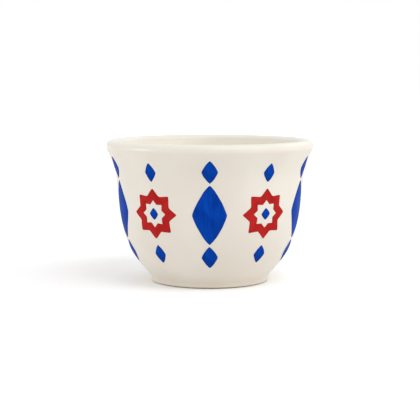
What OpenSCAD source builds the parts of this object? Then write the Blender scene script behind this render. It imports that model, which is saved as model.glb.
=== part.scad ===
// Arabic coffee cup: a small flared cup without a handle, turned in clay, glazed and painted with enamel.
// Millimetres, +Z up, origin on the table under the cup's axis, front towards -Y.

/* [Cup] */
// Diameter across the lip, glaze included
rim_d = 70; // [62:0.5:80]
// Height from the table to the top of the lip, glaze included
cup_h = 47.8; // [42:0.1:56]
// Thickness of the glazed wall at the belly
wall_t = 3.2; // [2.6:0.1:3.8]
// Thickness of the glaze
glaze_t = 0.25; // [0.15:0.05:0.4]

/* [Belly] */
// How far the lip stands out past the belly
lip_reach = 4.9; // [3:0.1:7]
// Height of the belly above the table
belly_z = 22.5; // [20:0.5:25]
// Outward lean of the wall at the belly, in degrees
belly_lean = 7; // [4:0.5:10]
// How long the curve under the belly keeps that lean
belly_low_pull = 15.6; // [13:0.2:17]
// How long the curve over the belly keeps that lean
belly_high_pull = 16; // [11:0.5:18]

/* [Lip] */
// Thickness of the rounded lip, glaze included
lip_w = 4.2; // [3.4:0.1:5]
// Outward lean of the wall where it meets the lip, in degrees
lip_flare = 24; // [16:1:32]
// How long the wall keeps that lean below the lip
lip_pull = 9; // [6:0.5:11]

/* [Foot] */
// Diameter of the glazed foot
foot_d = 39.3; // [36:0.1:43]
// How long the foot's wall stays upright before it swells into the belly
foot_pull = 2.8; // [1.5:0.1:4.5]
// Radius of the clay edge that rounds the foot into the table
foot_edge_r = 0.9; // [0.7:0.05:1.6]
// Turn of that edge that the glaze covers, in degrees
foot_glaze_turn = 27; // [20:1:50]
// Width of the flat ring that the cup stands on
ring_w = 2; // [1.4:0.1:3]
// Depth of the hollow under the foot
recess_h = 1.8; // [1.2:0.1:2.4]
// Radius of the ring's inner edge
ring_edge_r = 0.4; // [0.2:0.05:0.5]
// Radius of the corner inside the hollow
recess_corner_r = 0.6; // [0.3:0.05:0.7]
// Bare clay between the base glaze and the hollow's corner
base_glaze_margin = 0.5; // [0.2:0.1:2]

/* [Well] */
// Thickness of the floor in the middle, glaze included
floor_t = 3.4; // [2.6:0.1:4.2]
// How long the inner wall keeps the belly's lean on its way down
well_pull = 14.5; // [11:0.5:16]
// How far the floor stays nearly flat from the middle
well_flat = 16.5; // [12:0.5:18]

/* [Ornament] */
// How many times the pattern repeats round the cup
repeats = 5; // [3:1:6]
// Bare glaze between the top of the lip and the ornament
bare_over = 5; // [4:0.1:8]
// Bare height between the table and the ornament
bare_under = 7.7; // [5:0.1:11]
// Thickness of the painted enamel
enamel_t = 0.15; // [0.1:0.05:0.3]
// Clearance between the curved faces of the enamel and the glaze
enamel_gap = 0.03; // [0.02:0.01:0.08]
// Length over which a brushed corner is softened
corner_soft = 0.5; // [0.2:0.1:0.9]

/* [Star] */
// Diameter of the red star over its points, as a share of the ornament's height
star_share = 0.472; // [0.36:0.004:0.54]
// Number of points on the star
star_points = 8; // [6:1:12]
// How deep the notches between the points are
star_notch = 2.2; // [1.2:0.1:2.8]
// Width of the star's red band, measured at its points
star_band_w = 3.8; // [2.6:0.1:5]
// Width of the lozenge in the star's eye
eye_w = 3.2; // [2:0.1:4]
// Height of the lozenge in the star's eye
eye_h = 3.8; // [2:0.1:4.4]
// Height of the drops over and under the star, as a share of the ornament's height
drop_share = 0.174; // [0.1:0.002:0.2]
// Width of the drops
drop_w = 4.2; // [3:0.1:6]
// Gap between the star and its drops
drop_gap = 2; // [1:0.1:3]

/* [Column] */
// Height of the large blue lozenge, as a share of the ornament's height
lozenge_share = 0.545; // [0.45:0.005:0.6]
// Width of the large lozenge
lozenge_w = 11; // [8:0.2:13]
// Width of the small lozenges at its ends
tip_w = 5.2; // [4:0.1:7]
// Gap between the large lozenge and the small ones
tip_gap = 0.7; // [0.4:0.1:1.5]

/* [Hidden] */
numbers = [1 : repeats];
clay_colour = "#c8ae90";
glaze_colour = "#ebe4d7";
red_colour = "#be2026";
blue_colour = "#003ea5";
front = -90;
turn_step = 360 / repeats;
// Straight pieces that stand for each curve
wall_steps = 14;
lip_steps = 4;
edge_steps = 4;
corner_steps = 2;
side_steps = 5;
$fn = 180;
// Bow of a lozenge's sides: 1 is straight, 2 is an ellipse
lozenge_bow_share = 1.25;

// Directions up the wall and out of it, for a wall that leans outward by an angle
function uphill(lean) = [sin(lean), cos(lean)];
function outward(lean) = [cos(lean), -sin(lean)];

lip_r = lip_w / 2;
lip_c = [rim_d / 2 - lip_r, cup_h - lip_r];
edge_c = [foot_d / 2 - glaze_t - foot_edge_r, foot_edge_r];
foot_top = [foot_d / 2, foot_edge_r];
belly = [rim_d / 2 - lip_reach, belly_z];
belly_inside = belly - wall_t * outward(belly_lean);
lip_outside = lip_c + lip_r * outward(lip_flare);
lip_inside = lip_c - lip_r * outward(lip_flare);
floor_z = recess_h + floor_t;
floor_c = [0, floor_z];
ring_edge_c = [edge_c[0] - ring_w, ring_edge_r];
ceiling_r = ring_edge_c[0] - ring_edge_r - recess_corner_r;
recess_corner_c = [ceiling_r, recess_h - recess_corner_r];

// A station is a point of the glazed profile followed by the direction out of the clay there.
function station(p, along) = let (t = along / norm(along)) [p[0], p[1], t[1], -t[0]];
function curve_point(p, t) = let (s = 1 - t)
    s * s * s * p[0] + 3 * s * s * t * p[1] + 3 * s * t * t * p[2] + t * t * t * p[3];
function curve_slope(p, t) = let (s = 1 - t)
    s * s * (p[1] - p[0]) + 2 * s * t * (p[2] - p[1]) + t * t * (p[3] - p[2]);
function curve(p, steps) =
    [for (i = [0 : steps]) station(curve_point(p, i / steps), curve_slope(p, i / steps))];
function arc(c, r, from, to, steps) =
    [for (i = [0 : steps]) let (a = from + (to - from) * i / steps) c + r * [cos(a), sin(a)]];
function arc_stations(c, r, from, to, steps) =
    [for (p = arc(c, r, from, to, steps)) concat(p, (p - c) / r)];
function tail(list) = [for (i = [1 : len(list) - 1]) list[i]];
function reversed(list) = [for (i = [len(list) - 1 : -1 : 0]) list[i]];
function skin(stations, offset) = [for (s = stations) [s[0] + offset * s[2], s[1] + offset * s[3]]];

outer_low = curve(
    [
        foot_top,
        foot_top + foot_pull * uphill(0),
        belly - belly_low_pull * uphill(belly_lean),
        belly
    ],
    wall_steps
);
outer_high = curve(
    [
        belly,
        belly + belly_high_pull * uphill(belly_lean),
        lip_outside - lip_pull * uphill(lip_flare),
        lip_outside
    ],
    wall_steps
);
lip_turn = concat(
    arc_stations(lip_c, lip_r, -lip_flare, 0, lip_steps),
    tail(arc_stations(lip_c, lip_r, 0, 90, 2 * lip_steps)),
    tail(arc_stations(lip_c, lip_r, 90, 180 - lip_flare, lip_steps))
);
inner_high = curve(
    [
        lip_inside,
        lip_inside - lip_pull * uphill(lip_flare),
        belly_inside + belly_high_pull * uphill(belly_lean),
        belly_inside
    ],
    wall_steps
);
inner_low = curve(
    [
        belly_inside,
        belly_inside - well_pull * uphill(belly_lean),
        floor_c + [well_flat, 0],
        floor_c
    ],
    wall_steps
);
outer_wall = concat(outer_low, tail(outer_high));
glazed = concat(outer_wall, tail(lip_turn), tail(inner_high), tail(inner_low));

// Both sides of the glaze, from its edge on the foot round to the middle of the floor
glaze_side = concat(
    arc(edge_c, foot_edge_r + glaze_t, -foot_glaze_turn, 0, edge_steps),
    tail(skin(glazed, 0))
);
clay_side = concat(
    arc(edge_c, foot_edge_r, -foot_glaze_turn, 0, edge_steps),
    tail(skin(glazed, -glaze_t))
);

// The ornament fills the wall between its bare margins, and its pieces stack from its middle line.
ornament_h = cup_h - bare_over - bare_under;
ornament_z = bare_under + ornament_h / 2;
star_d = star_share * ornament_h;
star_hole_d = star_d - 2 * star_band_w;
drop_h = drop_share * ornament_h;
drop_rise = (star_d + drop_h) / 2 + drop_gap;
lozenge_h = lozenge_share * ornament_h;
tip_h = (ornament_h - lozenge_h) / 2 - tip_gap;
tip_rise = (ornament_h - tip_h) / 2;

module turned(outline) {
    rotate_extrude() polygon(outline);
}

module clay_body() {
    color(clay_colour) turned(concat(
        [[0, recess_h]],
        arc(recess_corner_c, recess_corner_r, 90, 0, edge_steps),
        arc(ring_edge_c, ring_edge_r, 180, 270, edge_steps),
        arc(edge_c, foot_edge_r, -90, -foot_glaze_turn, edge_steps),
        tail(clay_side)
    ));
}

module glaze_coat() {
    color(glaze_colour) turned(concat(glaze_side, reversed(clay_side)));
}

module base_glaze() {
    color(glaze_colour) translate([0, 0, recess_h - glaze_t])
        cylinder(h = glaze_t, r = ceiling_r - base_glaze_margin);
}

// A thin skin of enamel on one repeat's stretch of the wall, facing +X
module enamel_skin() {
    rotate([0, 0, -turn_step / 2]) rotate_extrude(angle = turn_step)
        polygon(concat(skin(outer_wall, enamel_gap + enamel_t), reversed(skin(outer_wall, enamel_gap))));
}

// Paints the flat outline below it on the wall, at a turn round the axis and a height
module painted(turn, height) {
    rotate([0, 0, turn]) intersection() {
        enamel_skin();
        translate([0, 0, height]) rotate([90, 0, 90]) linear_extrude(rim_d) children();
    }
}

// The corners of an outline, each drawn as a short curve
function softened(corners, soft) = let (n = len(corners)) [
    for (i = [0 : n - 1])
        let (
            p = corners[i],
            back = corners[(i + n - 1) % n] - p,
            ahead = corners[(i + 1) % n] - p,
            a = p + soft * back / norm(back),
            b = p + soft * ahead / norm(ahead)
        )
        for (k = [0 : corner_steps])
            let (t = k / corner_steps, s = 1 - t) s * s * a + 2 * s * t * p + t * t * b
];

// The corners of the star, scaled to a diameter
function star_corners(d) = [
    for (i = [0 : 2 * star_points - 1])
        let (
            a = 90 + i * 180 / star_points,
            r = star_d / 2 - (i % 2) * star_notch
        )
        r * d / star_d * [cos(a), sin(a)]
];

function power(x, e) = sign(x) * pow(abs(x), e);

module lozenge(w, h) {
    steps = 4 * side_steps;
    e = 2 / lozenge_bow_share;
    polygon([
        for (i = [0 : steps - 1])
            let (a = i * 360 / steps) [w / 2 * power(cos(a), e), h / 2 * power(sin(a), e)]
    ]);
}

module red_star(n) {
    color(red_colour) painted(front + (n - 0.5) * turn_step, ornament_z) difference() {
        polygon(softened(star_corners(star_d), corner_soft));
        polygon(softened(star_corners(star_hole_d), corner_soft / 2));
    }
}

module star_lozenge(n, rise, w, h) {
    color(blue_colour) painted(front + (n - 0.5) * turn_step, ornament_z + rise) lozenge(w, h);
}

module column_lozenge(n, rise, w, h) {
    color(blue_colour) painted(front + (n - 1) * turn_step, ornament_z + rise) lozenge(w, h);
}

clay_body();
glaze_coat();
base_glaze();
for (n = numbers) {
    red_star(n);
    star_lozenge(n, 0, eye_w, eye_h);
    star_lozenge(n, drop_rise, drop_w, drop_h);
    star_lozenge(n, -drop_rise, drop_w, drop_h);
    column_lozenge(n, 0, lozenge_w, lozenge_h);
    column_lozenge(n, tip_rise, tip_w, tip_h);
    column_lozenge(n, -tip_rise, tip_w, tip_h);
}
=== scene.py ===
# %% [markdown]
# # A small cup for Arabic coffee
# The real cup is one piece of ware: turned clay, a cream satin glaze over it, and red and blue enamel brushed on top.
# This lesson builds it in that order, as a potter and a painter would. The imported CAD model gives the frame: where
# each layer sits, in metres, with the table at height zero and the front of the cup towards -Y.

# %% Load the frame
import math
import random

import bmesh
import bpy
import numpy as np
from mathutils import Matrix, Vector


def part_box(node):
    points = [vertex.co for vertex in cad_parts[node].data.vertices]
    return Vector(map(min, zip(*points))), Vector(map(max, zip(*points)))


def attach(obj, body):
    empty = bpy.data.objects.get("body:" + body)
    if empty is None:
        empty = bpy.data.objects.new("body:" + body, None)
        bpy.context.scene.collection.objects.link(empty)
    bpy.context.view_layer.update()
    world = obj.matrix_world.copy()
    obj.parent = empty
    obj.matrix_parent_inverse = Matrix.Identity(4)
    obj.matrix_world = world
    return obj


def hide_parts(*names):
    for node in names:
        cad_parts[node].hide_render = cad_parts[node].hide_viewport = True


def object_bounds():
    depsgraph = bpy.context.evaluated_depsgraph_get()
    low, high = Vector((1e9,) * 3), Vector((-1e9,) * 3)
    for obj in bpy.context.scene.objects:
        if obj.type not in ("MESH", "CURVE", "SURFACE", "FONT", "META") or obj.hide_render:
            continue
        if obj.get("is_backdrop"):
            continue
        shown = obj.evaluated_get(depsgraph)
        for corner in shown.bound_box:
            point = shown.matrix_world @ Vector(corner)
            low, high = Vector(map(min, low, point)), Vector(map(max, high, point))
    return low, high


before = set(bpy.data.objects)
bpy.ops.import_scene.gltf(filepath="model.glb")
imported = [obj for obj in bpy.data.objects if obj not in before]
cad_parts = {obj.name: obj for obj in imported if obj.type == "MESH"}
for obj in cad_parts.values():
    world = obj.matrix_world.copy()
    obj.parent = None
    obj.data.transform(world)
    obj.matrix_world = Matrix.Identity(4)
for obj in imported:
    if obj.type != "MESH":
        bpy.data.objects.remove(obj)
cad_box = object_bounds()
scene = bpy.context.scene
print("CAD nodes:", len(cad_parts), "box:", [tuple(round(c, 5) for c in corner) for corner in cad_box])

# %% [markdown]
# ## Wiring nodes from a script
# Materials and Geometry Nodes are both graphs of nodes. A few small helpers keep the wiring short: one adds a node and
# fills its sockets, two do sums, one turns a vector, and one gives noise that a seed can change.

# %% Node helpers
mm = 0.001


def add(tree, kind, inputs=None, **settings):
    """Adds one node, sets its properties, then fills or links its input sockets by name or number."""
    node = tree.nodes.new(kind)
    for name, value in settings.items():
        setattr(node, name, value)
    for key, value in (inputs or {}).items():
        if isinstance(value, bpy.types.NodeSocket):
            tree.links.new(value, node.inputs[key])
        else:
            node.inputs[key].default_value = value
    return node


def calc(tree, operation, *values):
    """A sum with one or two numbers."""
    return add(tree, "ShaderNodeMath", dict(enumerate(values)), operation=operation).outputs[0]


def vector_calc(tree, operation, *values):
    """A sum with vectors. A scaling factor sits in the node's own Scale socket."""
    keys = (0, "Scale") if operation == "SCALE" else (0, 1)
    return add(tree, "ShaderNodeVectorMath", dict(zip(keys, values)), operation=operation).outputs[0]


def rotated(tree, vector, angle, rotation_type="Z_AXIS"):
    """A vector turned about an axis through the origin, by an angle in radians."""
    inputs = {"Vector": vector, "Angle": angle}
    return add(tree, "ShaderNodeVectorRotate", inputs, rotation_type=rotation_type).outputs[0]


def seeded_noise(tree, vector, seed, scale):
    """The outputs of a soft noise that changes with its seed."""
    inputs = {"Vector": vector, "W": seed, "Scale": scale, "Detail": 1.0}
    return add(tree, "ShaderNodeTexNoise", inputs, noise_dimensions="4D").outputs


# %% [markdown]
# ## Geometry Nodes that move a grid into shape
# Both Geometry Nodes trees of this lesson lay out a flat grid, work out for each of its points where it belongs, move
# it there, and merge the points that meet. These helpers hold what the two share. The named inputs of a tree show up
# as sliders on its modifier.

# %% Geometry Nodes helpers
merge_distance = 0.001 * mm


def new_geometry_tree(name, inputs):
    """A Geometry Nodes tree that takes a mesh and the named inputs, and its Group Input node."""
    tree = bpy.data.node_groups.new(name, "GeometryNodeTree")
    tree.interface.new_socket("Geometry", in_out="INPUT", socket_type="NodeSocketGeometry")
    tree.interface.new_socket("Geometry", in_out="OUTPUT", socket_type="NodeSocketGeometry")
    for label, kind in inputs.items():
        tree.interface.new_socket(label, in_out="INPUT", socket_type="NodeSocket" + kind)
    return tree, tree.nodes.new("NodeGroupInput")


def point_count(tree, mesh):
    return add(tree, "GeometryNodeAttributeDomainSize", {0: mesh}, component="MESH").outputs["Point Count"]


def flat_grid(tree, rows, columns):
    """A grid, and the row and the column of each of its points."""
    grid = add(tree, "GeometryNodeMeshGrid", {"Vertices X": rows, "Vertices Y": columns}).outputs["Mesh"]
    index = tree.nodes.new("GeometryNodeInputIndex").outputs[0]
    row = calc(tree, "FLOOR", calc(tree, "DIVIDE", index, columns))
    column = calc(tree, "SUBTRACT", index, calc(tree, "MULTIPLY", row, columns))
    return grid, row, column


def sample(tree, mesh, value, index, data_type="FLOAT_VECTOR"):
    """The value that one point of a mesh has, found by the point's number."""
    inputs = {"Geometry": mesh, "Value": value, "Index": index}
    return add(tree, "GeometryNodeSampleIndex", inputs, data_type=data_type).outputs[0]


def store(tree, mesh, name, value, data_type="FLOAT"):
    """Keeps a value on each point of a mesh as a named attribute."""
    inputs = {"Geometry": mesh, "Name": name, "Value": value}
    return add(tree, "GeometryNodeStoreNamedAttribute", inputs, data_type=data_type).outputs[0]


def hand_out(tree, mesh, finish):
    """Merges the points that meet, shades the mesh smooth, gives it its finish and ends the tree with it."""
    merged = add(tree, "GeometryNodeMergeByDistance", {"Geometry": mesh, "Distance": merge_distance})
    smooth = add(tree, "GeometryNodeSetShadeSmooth", {"Geometry": merged.outputs[0]})
    real = add(tree, "GeometryNodeRealizeInstances", {"Geometry": smooth.outputs[0]})
    finished = add(tree, "GeometryNodeSetMaterial", {"Geometry": real.outputs[0], "Material": finish})
    add(tree, "NodeGroupOutput", {0: finished.outputs[0]})
    print(tree.name + ":", len(tree.nodes), "nodes")


# %% [markdown]
# ## From a tree to a finished piece
# A modifier is live, but a finished piece should be a plain mesh whose place is in its points. So each tree is run
# once on a source mesh, and its result is baked. The piece is then checked as a maker would check a casting: it must
# be closed, and its faces must point out of the clay.

# %% Bake a tree and check the piece
def mesh_from(name, points, edges=()):
    mesh = bpy.data.meshes.new(name)
    mesh.from_pydata([tuple(p) for p in points], list(edges), [])
    return mesh


def check_closed(mesh):
    """Turns an inside-out mesh round, and returns its volume in cubic millimetres and its count of open edges."""
    work = bmesh.new()
    work.from_mesh(mesh)
    if work.calc_volume(signed=True) < 0:
        bmesh.ops.reverse_faces(work, faces=work.faces)
        work.to_mesh(mesh)
    volume = work.calc_volume(signed=True) / mm**3
    open_edges = sum(len(edge.link_faces) != 2 for edge in work.edges)
    work.free()
    return volume, open_edges


def grow(name, source, tree, values):
    """Runs a tree on a source mesh and keeps the result as an object with a plain mesh."""
    piece = bpy.data.objects.new(name, source)
    scene.collection.objects.link(piece)
    modifier = piece.modifiers.new(name, "NODES")
    modifier.node_group = tree
    sockets = {item.name: item.identifier for item in tree.interface.items_tree if item.in_out == "INPUT"}
    for label, value in values.items():
        modifier[sockets[label]] = value
    evaluated = piece.evaluated_get(bpy.context.evaluated_depsgraph_get())
    baked = bpy.data.meshes.new_from_object(evaluated)
    piece.modifiers.remove(modifier)
    piece.data = baked
    bpy.data.meshes.remove(source)
    baked.name = name
    volume, open_edges = check_closed(baked)
    print(f"{name}: {len(baked.polygons)} faces, {volume:.1f} mm3, {open_edges} open edges")
    return piece


def dress(piece, nodes):
    """Hides the CAD nodes that a piece stands for. The cup has one body, so all pieces ride it."""
    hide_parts(*nodes)
    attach(piece, "root")


# %% [markdown]
# ## The cup's profile
# A turned cup is one outline spun about its axis, so the outline is what has to be right. It was fitted to the
# photograph: a low foot, a full belly, and a lip that flares and rolls over. Four Bezier curves carry it, two outside
# and two inside, with a round lip between them. A Bezier curve suits a thrown wall because it has no flat spots: each
# end has a point, a lean, and a pull that says how long the clay keeps that lean. The sizes below are those of the CAD
# model, in millimetres and degrees.

# %% Sizes of the turned wall
rim_r, cup_h = 35.0, 47.8
wall_t, glaze_t = 3.2, 0.25
belly, belly_lean = np.array([30.1, 22.5]), 7
belly_low_pull, belly_high_pull = 15.6, 16
lip_r, lip_flare, lip_pull = 2.1, 24, 9
foot_r, foot_pull, foot_edge_r, foot_glaze_turn = 19.65, 2.8, 0.9, 27
ring_w, recess_h, ring_edge_r, recess_corner_r, base_glaze_margin = 2, 1.8, 0.4, 0.6, 0.5
floor_t, well_pull, well_flat = 3.4, 14.5, 16.5
wall_steps, lip_steps, edge_steps = 32, 10, 8


def uphill(lean):
    """The direction up a wall that leans outward by an angle."""
    return np.array([math.sin(math.radians(lean)), math.cos(math.radians(lean))])


def outward(lean):
    """The direction out of such a wall."""
    return np.array([math.cos(math.radians(lean)), -math.sin(math.radians(lean))])


def bezier(ends, steps):
    """Points of a curve and the directions out of the clay there, for a curve drawn with the clay on its left."""
    t = np.linspace(0, 1, steps + 1)[:, None]
    s = 1 - t
    a, b, c, d = ends
    points = s**3 * a + 3 * s * s * t * b + 3 * s * t * t * c + t**3 * d
    slope = s * s * (b - a) + 2 * s * t * (c - b) + t * t * (d - c)
    slope /= np.linalg.norm(slope, axis=1)[:, None]
    return points, np.stack([slope[:, 1], -slope[:, 0]], 1)


def arc(centre, radius, start, end, steps):
    """Points of an arc and the directions away from its centre there."""
    turn = np.radians(np.linspace(start, end, steps + 1))
    out = np.stack([np.cos(turn), np.sin(turn)], 1)
    return np.array(centre) + radius * out, out


# %% The glazed surface, from the foot over the lip to the floor
lip_c = np.array([rim_r - lip_r, cup_h - lip_r])
edge_c = np.array([foot_r - glaze_t - foot_edge_r, foot_edge_r])
foot_top = np.array([foot_r, foot_edge_r])
belly_inside = belly - wall_t * outward(belly_lean)
lip_outside, lip_inside = lip_c + lip_r * outward(lip_flare), lip_c - lip_r * outward(lip_flare)
floor_c = np.array([0, recess_h + floor_t])

up, flare = uphill(belly_lean), uphill(lip_flare)
stretches = [
    bezier((foot_top, foot_top + foot_pull * uphill(0), belly - belly_low_pull * up, belly), wall_steps),
    bezier((belly, belly + belly_high_pull * up, lip_outside - lip_pull * flare, lip_outside), wall_steps),
    arc(lip_c, lip_r, -lip_flare, 0, lip_steps // 2),
    arc(lip_c, lip_r, 0, 90, 2 * lip_steps),
    arc(lip_c, lip_r, 90, 180 - lip_flare, lip_steps),
    bezier((lip_inside, lip_inside - lip_pull * flare, belly_inside + belly_high_pull * up, belly_inside), wall_steps),
    bezier((belly_inside, belly_inside - well_pull * up, floor_c + [well_flat, 0], floor_c), wall_steps),
]
glazed = np.concatenate([stretches[0][0]] + [points[1:] for points, out in stretches[1:]])
glazed_out = np.concatenate([stretches[0][1]] + [out[1:] for points, out in stretches[1:]])
print("glazed outline:", len(glazed), "points, widest", glazed[:, 0].max(), "highest", glazed[:, 1].max())

# %% [markdown]
# ## Spinning an outline on the wheel
# Blender's Screw modifier could spin the outline too. This tree does it in the open instead: its grid has one row for
# each point of the outline and one column for each step round, and every grid point moves to its outline point, turned
# by its step. The seam and the two poles, where many points meet, are merged. A hand leaves a slight unevenness on
# clay, so a soft noise presses the wall in by a few hundredths of a millimetre. The clay and its glaze coat get the
# same noise, and so stay seated on each other. Each outline point also carries its way along the outline from the top
# of the lip, below zero outside and above zero inside. The tree hands it on as the attribute "past_lip", for the
# finishes.

# %% The wheel's tree
wheel, given = new_geometry_tree("Turned on the wheel", {
    "Steps Round": "Int", "Hand Wobble": "Float", "Wobble Width": "Float", "Seed": "Int", "Finish": "Material",
})
outline, steps_round = given.outputs["Geometry"], given.outputs["Steps Round"]
grid, row, step = flat_grid(wheel, point_count(wheel, outline), calc(wheel, "ADD", steps_round, 1))
turn = calc(wheel, "MULTIPLY", calc(wheel, "DIVIDE", step, steps_round), 2 * math.pi)
outline_point = sample(wheel, outline, wheel.nodes.new("GeometryNodeInputPosition").outputs[0], row)

# The unevenness fades out towards the axis, where all steps round share one point.
fade_r = 12 * mm
spun = rotated(wheel, outline_point, turn)
uneven = seeded_noise(wheel, spun, given.outputs["Seed"], calc(wheel, "DIVIDE", 1.0, given.outputs["Wobble Width"]))[0]
radius = add(wheel, "ShaderNodeSeparateXYZ", {0: outline_point}).outputs["X"]
off_axis = calc(wheel, "MINIMUM", calc(wheel, "DIVIDE", radius, fade_r), 1.0)
press = calc(wheel, "MULTIPLY", calc(wheel, "MULTIPLY", uneven, given.outputs["Hand Wobble"]), off_axis)
pressed = vector_calc(wheel, "SUBTRACT", outline_point, add(wheel, "ShaderNodeCombineXYZ", {"X": press}).outputs[0])
turned = rotated(wheel, pressed, turn)

past_lip = add(wheel, "GeometryNodeInputNamedAttribute", {"Name": "past_lip"}, data_type="FLOAT").outputs[0]
past_lip = sample(wheel, outline, past_lip, row, "FLOAT")
spread = add(wheel, "GeometryNodeSetPosition", {"Geometry": grid, "Position": turned}).outputs[0]
hand_out(wheel, store(wheel, spread, "past_lip", past_lip), given.outputs["Finish"])

# %% [markdown]
# ## Finish: cream satin glaze
# The glaze is a pale warm cream with a soft, broad shine. On the real cup its colour is never quite even: it drifts
# from patch to patch. It turns paler over the lip, partly where the glaze thins and partly as a painted highlight on
# the lit lip. It turns deeper just inside the lip, partly where the glaze gathers and partly as painted shade inside
# the cup, and darker and warmer above the foot, partly where it pools and partly as painted shade under the belly. So
# the colour is mixed by a large soft noise, again by the way past the lip, and again by height near the foot. Two small
# bumps, one broad and one fine, keep the shine from looking like plastic.

# %% Material helpers
def new_material(name, **constants):
    """A material with one Principled shader whose plain values are set on its own sockets."""
    material = bpy.data.materials.new(name)
    material.use_nodes = True
    tree = material.node_tree
    tree.nodes.clear()
    shader = add(tree, "ShaderNodeBsdfPrincipled", {label.replace("_", " "): v for label, v in constants.items()})
    add(tree, "ShaderNodeOutputMaterial", {"Surface": shader.outputs[0]})
    return material, tree, shader


def noise(tree, vector, size, detail=2.0, roughness=0.5):
    """Soft noise whose patches are about this size, in metres."""
    return add(tree, "ShaderNodeTexNoise", {
        "Vector": vector, "Scale": 1 / size, "Detail": detail, "Roughness": roughness,
    }).outputs[0]


def spread_over(tree, value, low, high, to_low=0.0, to_high=1.0):
    """Maps a value from one range to another, easing in and out at both ends."""
    return add(tree, "ShaderNodeMapRange", {
        "Value": value, "From Min": low, "From Max": high, "To Min": to_low, "To Max": to_high,
    }, interpolation_type="SMOOTHSTEP").outputs[0]


def blend_colours(tree, factor, first, second):
    """Mixes two colours. A Mix node has sockets for each kind of value: 6 and 7 take colours, and 2 gives one out."""
    return add(tree, "ShaderNodeMix", {0: factor, 6: first, 7: second}, data_type="RGBA").outputs[2]


def bumps(tree, shader, layers):
    """Stacks bumps, each a height field and how far it stands out, in metres."""
    normal = None
    for height, distance in layers:
        inputs = {"Height": height, "Distance": distance, "Strength": 1.0}
        if normal:
            inputs["Normal"] = normal
        normal = add(tree, "ShaderNodeBump", inputs).outputs[0]
    tree.links.new(normal, shader.inputs["Normal"])


def object_place(tree):
    return tree.nodes.new("ShaderNodeTexCoord").outputs["Object"]


# %% Cream satin glaze
# Besides the glaze's own tones, these hold painted light: a paler tone as a painted highlight on the lip, a deeper one
# as painted shade inside the lip, and a darker one as painted shade above the foot.
cream, warm_cream, pooled_and_shaded_cream = (0.83, 0.772, 0.681, 1), (0.80, 0.737, 0.641, 1), (0.75, 0.63, 0.47, 1)
thin_and_highlit_cream, gathered_and_shaded_cream = (0.844, 0.825, 0.743, 1), (0.84, 0.789, 0.68, 1)
glaze_finish, tree, shader = new_material("cream_satin_glaze", IOR=1.5, Coat_Weight=0.25, Coat_Roughness=0.18)
here = object_place(tree)
drift = spread_over(tree, noise(tree, here, 20 * mm), 0.35, 0.65)
colour = blend_colours(tree, drift, cream, warm_cream)

past_lip = add(tree, "ShaderNodeAttribute", attribute_name="past_lip").outputs["Fac"]
# Painted shade, partly also gathered glaze: the colour turns deeper from about 2 mm inside the lip downwards.
shaded_gather_in = spread_over(tree, past_lip, 2 * mm, 4.2 * mm)
shaded_gather_down = spread_over(tree, past_lip, 18 * mm, 6 * mm, to_low=0.25)
colour = blend_colours(tree, calc(tree, "MINIMUM", shaded_gather_in, shaded_gather_down), colour, gathered_and_shaded_cream)
# Painted highlight, partly also thinner glaze: the colour turns paler over the top of the lip, on both sides.
highlit_thin_outside = spread_over(tree, past_lip, -3 * mm, -0.8 * mm)
highlit_thin_inside = spread_over(tree, past_lip, 3 * mm, 1.4 * mm)
colour = blend_colours(tree, calc(tree, "MINIMUM", highlit_thin_outside, highlit_thin_inside), colour, thin_and_highlit_cream)

height = add(tree, "ShaderNodeSeparateXYZ", {0: here}).outputs["Z"]
# Painted shade, partly also pooled glaze: the colour turns darker and warmer below 5 mm, just above the foot.
pooled_and_shaded = spread_over(tree, height, 5 * mm, 0.5 * mm, to_high=0.28)
colour = blend_colours(tree, pooled_and_shaded, colour, pooled_and_shaded_cream)
roughness = spread_over(tree, noise(tree, here, 3 * mm), 0.3, 0.7, to_low=0.32, to_high=0.40)
tree.links.new(colour, shader.inputs["Base Color"])
tree.links.new(roughness, shader.inputs["Roughness"])
bumps(tree, shader, [(noise(tree, here, 5 * mm), 0.03 * mm), (noise(tree, here, 0.7 * mm), 0.004 * mm)])
print(glaze_finish.name, len(tree.nodes), "nodes")

# %% [markdown]
# ## Finish: bare clay
# The ring that the cup stands on is wiped clean before firing, so that it doesn't stick to the kiln shelf. What shows
# there is dry, tan, fired clay. It has no shine, a fine grain, and a few darker grains of sand. Its outer edge, where
# it meets the table, is painted much darker: painted shade of the narrow gap under the foot's rounded edge.

# %% Bare clay
clay, pale_clay, sand = (0.58, 0.43, 0.28, 1), (0.66, 0.52, 0.36, 1), (0.30, 0.20, 0.12, 1)
# A dark brown for painted shade at the outer edge of the standing ring, where it meets the table.
shadowed_edge_clay = (0.17, 0.10, 0.045, 1)
clay_finish, tree, shader = new_material("bare_fired_clay", Roughness=0.92, IOR=1.4)
here = object_place(tree)
grain = noise(tree, here, 0.4 * mm, detail=3.0, roughness=0.6)
sand_grains = spread_over(tree, noise(tree, here, 0.25 * mm, detail=0.0), 0.68, 0.74, to_high=0.8)
colour = blend_colours(tree, sand_grains, blend_colours(tree, grain, clay, pale_clay), sand)
sideways = vector_calc(tree, "MULTIPLY", here, (1, 1, 0))
from_axis = add(tree, "ShaderNodeVectorMath", {0: sideways}, operation="LENGTH").outputs["Value"]
# Painted shade: the clay darkens towards the outer edge of the ring, as in the gap under the foot's edge.
edge_shade = spread_over(tree, from_axis, 18.2 * mm, 18.9 * mm, to_high=0.85)
colour = blend_colours(tree, edge_shade, colour, shadowed_edge_clay)
tree.links.new(colour, shader.inputs["Base Color"])
bumps(tree, shader, [(grain, 0.03 * mm)])
print(clay_finish.name, len(tree.nodes), "nodes")

# %% [markdown]
# ## The clay, the glaze coat and the patch under the foot
# Each layer is an outline that starts and ends on the axis, so that spinning it gives a closed skin. The glaze coat
# runs back along the clay under it, a quarter of a millimetre down, and ends above the standing ring in a soft round
# edge, where the glaze was wiped off. The patch in the hollow of the foot was dabbed on, so its edge wanders more than
# the wall does.

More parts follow.
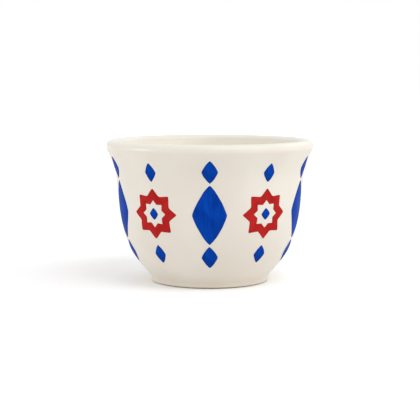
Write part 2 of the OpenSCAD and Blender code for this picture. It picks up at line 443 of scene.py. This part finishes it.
# %% Outlines of the three turned layers
clay_side = np.concatenate([
    arc(edge_c, foot_edge_r, -foot_glaze_turn, 0, edge_steps)[0],
    (glazed - glaze_t * glazed_out)[1:],
])
glaze_side = np.concatenate([arc(edge_c, foot_edge_r + glaze_t, -foot_glaze_turn, 0, edge_steps)[0], glazed[1:]])
nose_c = edge_c + (foot_edge_r + glaze_t / 2) * outward(foot_glaze_turn)
nose = arc(nose_c, glaze_t / 2, -foot_glaze_turn, -foot_glaze_turn - 180, edge_steps)[0]
# Under the glaze, where nobody looks, every second point of the clay will do.
glaze_outline = np.concatenate([clay_side[::-2], nose[::-1][1:-1], glaze_side])

ring_edge_c = np.array([edge_c[0] - ring_w, ring_edge_r])
ceiling_r = ring_edge_c[0] - ring_edge_r - recess_corner_r
clay_outline = np.concatenate([
    [[0, recess_h]],
    arc((ceiling_r, recess_h - recess_corner_r), recess_corner_r, 90, 0, edge_steps)[0],
    arc(ring_edge_c, ring_edge_r, 180, 270, edge_steps)[0],
    arc(edge_c, foot_edge_r, -90, -foot_glaze_turn, edge_steps)[0],
    clay_side[1:],
])
patch_r, patch_edge_r = ceiling_r - base_glaze_margin, 0.2
patch_edge_c = (patch_r - patch_edge_r, recess_h - glaze_t + patch_edge_r)
patch_outline = np.concatenate([
    [[0, recess_h - glaze_t]],
    arc(patch_edge_c, patch_edge_r, -90, 0, edge_steps)[0],
    [[patch_r, recess_h], [0, recess_h]],
])

# %% Turn them
wall_wobble, patch_wobble, wobble_width = 0.08 * mm, 0.5 * mm, 28 * mm


def turn_piece(name, outline, finish, wobble):
    """Turns an outline in millimetres to a closed piece."""
    points = np.stack([outline[:, 0], 0 * outline[:, 0], outline[:, 1]], 1) * mm
    source = mesh_from(name + "_outline", points, zip(range(len(points) - 1), range(1, len(points))))
    way = np.append(0, np.cumsum(np.linalg.norm(np.diff(points, axis=0), axis=1)))
    way -= way[np.argmax(points[:, 2])]
    source.attributes.new("past_lip", "FLOAT", "POINT").data.foreach_set("value", way.astype(np.float32))
    return grow(name, source, wheel, {
        "Steps Round": 288, "Hand Wobble": wobble, "Wobble Width": wobble_width, "Seed": 3, "Finish": finish,
    })


thrown_clay = turn_piece("thrown_clay", clay_outline, clay_finish, wall_wobble)
glaze_layer = turn_piece("glaze_layer", glaze_outline, glaze_finish, wall_wobble)
foot_patch = turn_piece("foot_patch", patch_outline, glaze_finish, patch_wobble)

dress(thrown_clay, ["clay_body"])
dress(glaze_layer, ["glaze_coat"])
dress(foot_patch, ["base_glaze"])
for piece, node in ((thrown_clay, "clay_body"), (glaze_layer, "glaze_coat"), (foot_patch, "base_glaze")):
    corners = np.array([piece.matrix_world @ vertex.co for vertex in piece.data.vertices])
    low_corner, high_corner = (np.array(corner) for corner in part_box(node))
    print(piece.name, "inside its CAD node's box by, in mm:",
          np.round((corners.min(0) - low_corner) / mm, 3), np.round((high_corner - corners.max(0)) / mm, 3))

# %% [markdown]
# ## A mark of the brush
# Enamel is thick paint. A brushed mark lies on the glaze as a low, soft-edged film that follows the wall. Flat discs
# would float off a curved cup, and a painted texture would have no edge to catch the light. So each mark is real
# geometry, made by one tree in three moves: fill the flat outline with rings of points, press each point straight
# back until it meets the glaze (Raycast), and raise it off the glaze by the paint's thickness, which swells up in a
# quarter round just inside the edge. The points are at first in a flat frame that faces +X, with Y across and Z up.
#
# The source mesh holds three lists of points, one after the other: the inner outline, the outer outline, and the
# section, whose X says how far out from the inner outline to the outer one, and whose Z is 1 on the film's top and 0 on
# its underside. A solid mark has its inner outline shrunk to one point. A ring's section has to close on its own first
# row, so its grid gets one row more.

# %% The brush's tree
brush, given = new_geometry_tree("Brushed mark", {
    "Glaze": "Object", "Turn": "Float", "Height": "Float", "Tilt": "Float", "Outline Points": "Int", "Ring": "Int",
    "Film": "Float", "Sink": "Float", "Edge Round": "Float", "Hand Wobble": "Float", "Seed": "Int",
    "Finish": "Material",
})
lists, count, ring, seed = (given.outputs[label] for label in ("Geometry", "Outline Points", "Ring", "Seed"))
both_outlines = calc(brush, "MULTIPLY", count, 2)
section_rows = calc(brush, "SUBTRACT", point_count(brush, lists), both_outlines)
grid, row, column = flat_grid(brush, calc(brush, "ADD", section_rows, ring), calc(brush, "ADD", count, 1))
around = calc(brush, "MODULO", column, count)
place = brush.nodes.new("GeometryNodeInputPosition").outputs[0]
inner = sample(brush, lists, place, around)
outer = sample(brush, lists, place, calc(brush, "ADD", around, count))
section_number = calc(brush, "ADD", calc(brush, "MODULO", row, section_rows), both_outlines)
section = add(brush, "ShaderNodeSeparateXYZ", {0: sample(brush, lists, place, section_number)})
share, top = section.outputs["X"], section.outputs["Z"]
spoke = vector_calc(brush, "SUBTRACT", outer, inner)
flat = vector_calc(brush, "ADD", inner, vector_calc(brush, "SCALE", spoke, share))

# %% The hand's wobble, the distance to the edge and the stroke's direction
shake_size = 5 * mm
# The noise runs from 0 to 1. Centred and doubled, it moves a point by up to the full wobble, across and up only.
shake = vector_calc(brush, "SUBTRACT", seeded_noise(brush, flat, seed, 1 / shake_size)["Color"], (0.5, 0.5, 0.5))
shake = vector_calc(brush, "SCALE", shake, given.outputs["Hand Wobble"])
drawn = vector_calc(brush, "ADD", flat, vector_calc(brush, "MULTIPLY", shake, (0, 2, 2)))

length = add(brush, "ShaderNodeVectorMath", {0: inner, 1: outer}, operation="DISTANCE").outputs["Value"]
from_inner = calc(brush, "MULTIPLY", share, length)
to_outer = calc(brush, "SUBTRACT", length, from_inner)
# A solid mark has no inner edge, so that one is put a metre away.
to_inner = calc(brush, "ADD", from_inner, calc(brush, "SUBTRACT", 1.0, ring))
edge = calc(brush, "MINIMUM", to_outer, to_inner)

# The brush goes up and down a solid mark, and round a ring. Sockets 2 and 3 of a Mix node take plain numbers.
parts = add(brush, "ShaderNodeSeparateXYZ", {0: drawn})
across = add(brush, "ShaderNodeMix", {0: ring, 2: parts.outputs["Y"], 3: from_inner}, data_type="FLOAT").outputs[0]
stroke = add(brush, "ShaderNodeCombineXYZ", {"X": parts.outputs["Y"], "Y": parts.outputs["Z"], "Z": across}).outputs[0]

# %% Press the mark on the glaze and raise it by its film
reach = 60 * mm
start = add(brush, "ShaderNodeCombineXYZ", {"X": reach, "Z": given.outputs["Height"]}).outputs[0]
start = vector_calc(brush, "ADD", rotated(brush, drawn, given.outputs["Tilt"], "X_AXIS"), start)
source, direction = (rotated(brush, vector, given.outputs["Turn"]) for vector in (start, (-1, 0, 0)))
glaze_mesh = add(brush, "GeometryNodeObjectInfo", {"Object": given.outputs["Glaze"]}).outputs["Geometry"]
touch = add(brush, "GeometryNodeRaycast", {
    "Target Geometry": glaze_mesh, "Source Position": source, "Ray Direction": direction, "Ray Length": reach,
})

rounded = calc(brush, "MINIMUM", calc(brush, "DIVIDE", edge, given.outputs["Edge Round"]), 1.0)
short = calc(brush, "SUBTRACT", 1.0, rounded)
swell = calc(brush, "SQRT", calc(brush, "SUBTRACT", 1.0, calc(brush, "MULTIPLY", short, short)))
# The brush's hairs leave the film 0.85 to 1.05 times as thick, in streaks along the stroke.
hair_scale, thinnest, hair_relief = (150, 150, 1200), 0.85, 0.2
hairs = seeded_noise(brush, vector_calc(brush, "MULTIPLY", stroke, hair_scale), seed, 1.0)[0]
streaked = calc(brush, "ADD", thinnest, calc(brush, "MULTIPLY", hairs, hair_relief))
film = calc(brush, "MULTIPLY", given.outputs["Film"], streaked)
raised = calc(brush, "MULTIPLY", calc(brush, "MULTIPLY", film, swell), top)
sunk = calc(brush, "MULTIPLY", given.outputs["Sink"], calc(brush, "SUBTRACT", 1.0, top))
lift = vector_calc(brush, "SCALE", touch.outputs["Hit Normal"], calc(brush, "SUBTRACT", raised, sunk))
laid = vector_calc(brush, "ADD", touch.outputs["Hit Position"], lift)

spread = add(brush, "GeometryNodeSetPosition", {"Geometry": grid, "Position": laid}).outputs[0]
stored = store(brush, store(brush, spread, "stroke", stroke, "FLOAT_VECTOR"), "edge", edge)
hand_out(brush, stored, given.outputs["Finish"])

# %% [markdown]
# ## Finish: brushed enamel
# Cobalt blue and iron red are the two enamels. Where the brush ran, its hairs left fine streaks, a little lighter and
# darker along the stroke, and the paint settled a little darker along the edge. The tree above stored both as
# attributes: "stroke", whose third number runs across the brush, and "edge", the distance to the mark's edge. Noise
# that is stretched along the stroke then gives the streaks.

# %% Enamels
def enamel(name, deep, full, bright):
    """A satin enamel in three depths of its colour."""
    material, tree, shader = new_material(name, Specular_IOR_Level=0.015)
    stroke = add(tree, "ShaderNodeAttribute", attribute_name="stroke").outputs["Vector"]
    edge = add(tree, "ShaderNodeAttribute", attribute_name="edge").outputs["Fac"]
    stretched = add(tree, "ShaderNodeMapping", {"Vector": stroke, "Scale": (0.12, 0.12, 1)}).outputs[0]
    hairs = noise(tree, stretched, 0.8 * mm, detail=3.0, roughness=0.6)
    cloud = noise(tree, stroke, 5 * mm)
    colour = blend_colours(tree, spread_over(tree, hairs, 0.3, 0.7), full, bright)
    colour = blend_colours(tree, spread_over(tree, cloud, 0.4, 0.75, to_high=0.45), colour, deep)
    colour = blend_colours(tree, spread_over(tree, edge, 0.35 * mm, 0.05 * mm, to_high=0.75), colour, deep)
    roughness = spread_over(tree, hairs, 0.3, 0.7, to_low=0.36, to_high=0.48)
    tree.links.new(colour, shader.inputs["Base Color"])
    tree.links.new(roughness, shader.inputs["Roughness"])
    bumps(tree, shader, [(hairs, 0.015 * mm)])
    print(name, len(tree.nodes), "nodes")
    return material


blue_finish = enamel("cobalt_enamel", (0.0008, 0.024, 0.205, 1), (0.0015, 0.047, 0.365, 1), (0.0025, 0.064, 0.455, 1))
red_finish = enamel("iron_red_enamel", (0.31, 0.010, 0.0095, 1), (0.455, 0.017, 0.0155, 1), (0.545, 0.024, 0.0225, 1))

# %% [markdown]
# ## Outlines of the marks
# The painter's pattern needs only two shapes: a lozenge with gently bowed sides, and a star with a smaller star left
# bare in its middle. A mark has the same number of points on its inner and outer outlines, so that the brush's tree can
# fill the space between them ring by ring. The rings lie closer together towards an edge, where the film curves down.

# %% Lozenge, star and the section of the paint
lozenge_bow = 1.6
star_tips, star_notch, corner_steps, side_steps = 8, 2.2, 4, 5
# Where the rings of points lie, as shares of the way from the inner to the outer outline
solid_top, solid_under = (0, 0.25, 0.45, 0.62, 0.75, 0.85, 0.92, 0.96, 0.985, 1), (1, 0.8, 0.6, 0.4, 0.2, 0)
ring_top = (0, 0.015, 0.05, 0.11, 0.2, 0.35, 0.5, 0.65, 0.8, 0.89, 0.95, 0.985, 1)
ring_under = (1, 0.75, 0.5, 0.25, 0)


def lozenge(width, height, points):
    """A closed outline between a diamond and an ellipse."""
    turns = np.linspace(0, 2 * math.pi, points, endpoint=False)
    c, s = np.cos(turns), np.sin(turns)
    across, up = np.sign(c) * abs(c) ** lozenge_bow * width / 2, np.sign(s) * abs(s) ** lozenge_bow * height / 2
    return np.stack([across, up], 1)


def star(diameter, notch_share, soft):
    """A closed outline of a star whose corners are short curves."""
    numbers = np.arange(2 * star_tips)
    turns = math.pi / 2 + numbers * math.pi / star_tips
    radii = diameter / 2 * np.where(numbers % 2, 1 - notch_share, 1)
    corners = np.stack([radii * np.cos(turns), radii * np.sin(turns)], 1)
    points = []
    for before, corner, after in zip(np.roll(corners, 1, 0), corners, np.roll(corners, -1, 0)):
        enter = corner + soft * (before - corner) / np.linalg.norm(before - corner)
        leave = corner + soft * (after - corner) / np.linalg.norm(after - corner)
        for t in np.linspace(0, 1, corner_steps + 1):
            points.append((1 - t) ** 2 * enter + 2 * (1 - t) * t * corner + t * t * leave)
        side_end = after + soft * (corner - after) / np.linalg.norm(corner - after)
        points += [leave + (side_end - leave) * t for t in np.linspace(0, 1, side_steps + 1)[1:-1]]
    return np.array(points)


# %% [markdown]
# ## Painting the cup
# The pattern is a plain frieze of the kind that potters everywhere have painted: a column of three blue lozenges, then
# a red star with a blue eye and a drop over and under it, five times round. A painter's hand never repeats exactly, so
# each mark has its own seed for the wobble of its edge, and leans by a degree or so.

# %% Sizes of the pattern, those of the CAD model, in millimetres and degrees
front, repeats = -90, 5
ornament_low, ornament_high = 7.7, 42.8
ornament_h, ornament_z = ornament_high - ornament_low, (ornament_high + ornament_low) / 2
star_share, drop_share, lozenge_share = 0.472, 0.174, 0.545
star_d, star_band_w, corner_soft = star_share * ornament_h, 3.8, 0.5
eye_w, eye_h = 3.2, 3.8
drop_w, drop_h, drop_gap = 4.2, drop_share * ornament_h, 2
lozenge_w, lozenge_h = 11, lozenge_share * ornament_h
tip_w, tip_gap = 5.2, 0.7
tip_h = (ornament_h - lozenge_h) / 2 - tip_gap
drop_rise, tip_rise = (star_d + drop_h) / 2 + drop_gap, (ornament_h - tip_h) / 2
notch_share = 2 * star_notch / star_d
star_outline = star(star_d, notch_share, corner_soft)
star_hole = star(star_d - 2 * star_band_w, notch_share, corner_soft / 2)

# %% Paint all marks
blue_wobble, red_wobble, most_lean = 0.25 * mm, 0.3 * mm, 1.3
hand = random.Random(5)


def paint(name, node, turn, height, outer, inner, finish, wobble):
    """Brushes one mark on the glaze and makes it stand for its CAD node. A mark with no inner outline is solid."""
    is_ring = inner is not None
    inner = inner if is_ring else 0 * outer
    top_rows, under_rows = (ring_top, ring_under) if is_ring else (solid_top, solid_under)
    section = [(share, 0, 1) for share in top_rows] + [(share, 0, 0) for share in under_rows]
    points = [(0, u * mm, v * mm) for u, v in (*inner, *outer)] + section
    piece = grow(name, mesh_from(name + "_outline", points), brush, {
        "Glaze": glaze_layer, "Turn": math.radians(turn), "Height": height * mm,
        "Tilt": math.radians(hand.uniform(-most_lean, most_lean)), "Outline Points": len(outer), "Ring": int(is_ring),
        "Film": 0.15 * mm, "Sink": 0.04 * mm, "Edge Round": 0.3 * mm, "Hand Wobble": wobble,
        "Seed": hand.randrange(1000), "Finish": finish,
    })
    dress(piece, [node])


for n in range(1, repeats + 1):
    column_turn = front + (n - 1) * 360 / repeats
    star_turn = column_turn + 180 / repeats
    for label, turn, rise, outer in (
        ("blue_lozenge", column_turn, 0, lozenge(lozenge_w, lozenge_h, points=96)),
        ("upper_tip", column_turn, tip_rise, lozenge(tip_w, tip_h, points=64)),
        ("lower_tip", column_turn, -tip_rise, lozenge(tip_w, tip_h, points=64)),
        ("star_eye", star_turn, 0, lozenge(eye_w, eye_h, points=48)),
        ("star_upper_drop", star_turn, drop_rise, lozenge(drop_w, drop_h, points=64)),
        ("star_lower_drop", star_turn, -drop_rise, lozenge(drop_w, drop_h, points=64)),
    ):
        paint(f"brushed_{label}_{n}", f"{label}_{n}", turn, ornament_z + rise, outer, None, blue_finish, blue_wobble)
    paint(f"brushed_red_star_{n}", f"red_star_{n}", star_turn, ornament_z, star_outline, star_hole, red_finish,
          red_wobble)

# %% [markdown]
# ## The table, the light and the camera
# The cup stands on a white table in a bright, soft studio. A dome of even light fills the shadows. A small key lamp
# high in front draws the bright line on the lip, two windows on the right give the wall its gentle shading and lay a
# soft shadow on the left, and four weaker lamps stand for pale walls. What the camera sees directly is kept apart from
# what lights the cup: the world and the table are white for camera rays, by Light Path, and no lamp is turned up for
# it. Close to the foot that added white is held back, so that the cup's own shadow stays on the table.

# %% Table
def white_for_camera(tree):
    """1 for the rays that show the backdrop, straight or by way of a shine, and 0 for those that light the cup."""
    path = tree.nodes.new("ShaderNodeLightPath")
    seen = calc(tree, "MAXIMUM", path.outputs["Is Camera Ray"], path.outputs["Is Glossy Ray"])
    return calc(tree, "MAXIMUM", seen, path.outputs["Is Transmission Ray"])


table_mesh = mesh_from("table", [])
work = bmesh.new()
bmesh.ops.create_circle(work, cap_ends=True, segments=96, radius=3.0)
work.to_mesh(table_mesh)
work.free()
table = bpy.data.objects.new("table", table_mesh)
scene.collection.objects.link(table)
table_finish = bpy.data.materials.new("white_table")
table_finish.use_nodes = True
tree = table_finish.node_tree
tree.nodes.clear()
painted = add(tree, "ShaderNodeBsdfDiffuse", {"Color": (0.89, 0.89, 0.89, 1)})
off_centre = add(tree, "ShaderNodeVectorMath", {0: object_place(tree)}, operation="LENGTH").outputs["Value"]
near_cup = spread_over(tree, off_centre, 18 * mm, 38 * mm, to_low=0.14, to_high=0.225)
far_out = spread_over(tree, off_centre, 200 * mm, 800 * mm)
added_white = calc(tree, "MULTIPLY", white_for_camera(tree), calc(tree, "MAXIMUM", far_out, near_cup))
glow = add(tree, "ShaderNodeEmission", {"Strength": added_white})
both = add(tree, "ShaderNodeAddShader", {0: painted.outputs[0], 1: glow.outputs[0]})
add(tree, "ShaderNodeOutputMaterial", {"Surface": both.outputs[0]})
table_mesh.materials.append(table_finish)
table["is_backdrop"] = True

# %% World and lamps
world = bpy.data.worlds.new("studio")
scene.world = world
world.use_nodes = True
tree = world.node_tree
tree.nodes.clear()
dome = add(tree, "ShaderNodeBackground", {"Color": (1, 1, 1, 1), "Strength": 0.662})
backdrop = add(tree, "ShaderNodeBackground", {"Color": (1, 1, 1, 1), "Strength": 1.0})
mixed = add(tree, "ShaderNodeMixShader", {0: white_for_camera(tree), 1: dome.outputs[0], 2: backdrop.outputs[0]})
add(tree, "ShaderNodeOutputWorld", {"Surface": mixed.outputs[0]})
lamp_aim = Vector((0, 0, 0.025))


def lamp(name, place, size, power):
    """A round lamp that looks at the cup, with its size in metres and its power in watts."""
    light = bpy.data.lights.new(name, "AREA")
    light.shape, light.size, light.energy = "DISK", size, power
    holder = bpy.data.objects.new(name, light)
    holder.location = place
    holder.rotation_euler = (lamp_aim - Vector(place)).to_track_quat("-Z", "Y").to_euler()
    scene.collection.objects.link(holder)


lamp("key", (0.32, -0.6, 1.15), 0.5, 2.35)
lamp("window", (0.75, -0.45, 0.95), 0.7, 2.3)
lamp("side_window", (0.95, 0.0, 0.6), 0.8, 1.0)
lamp("pale_wall_front", (0.85, -0.9, 0.2), 0.8, 1.35)
lamp("pale_wall_right", (1.25, -0.15, 0.15), 0.4, 0.6)
lamp("pale_wall_left", (-1.2, -0.2, 0.14), 0.5, 3.8)
lamp("pale_wall_back", (0.75, 0.75, 0.7), 0.8, 0.9)

# %% Camera, as fitted to the outline in the photograph
focal_pixels, picture_pixels = 1306, 420
camera_x, camera_distance, camera_height, aim_height = 0.00008, 0.440, 0.0717, 0.0238
camera_data = bpy.data.cameras.new("camera")
camera = bpy.data.objects.new("camera", camera_data)
scene.collection.objects.link(camera)
camera_data.sensor_width = 36
camera_data.lens = focal_pixels / picture_pixels * camera_data.sensor_width
camera_data.clip_start = 0.01
camera.location = (camera_x, -camera_distance, camera_height)
camera_aim = Vector((camera_x, 0, aim_height))
camera.rotation_euler = (camera_aim - camera.location).to_track_quat("-Z", "Y").to_euler()
scene.camera = camera
scene.view_settings.view_transform = "Standard"

# %% [markdown]
# ## Close the lesson
# The visual model has to stay the size of the CAD model, so both boxes are printed, side by side.

# %% Boxes and finish
boxes = {"cad": cad_box, "visual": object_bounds()}
boxes = {label: [[float(c) for c in corner] for corner in box] for label, box in boxes.items()}
print(boxes)
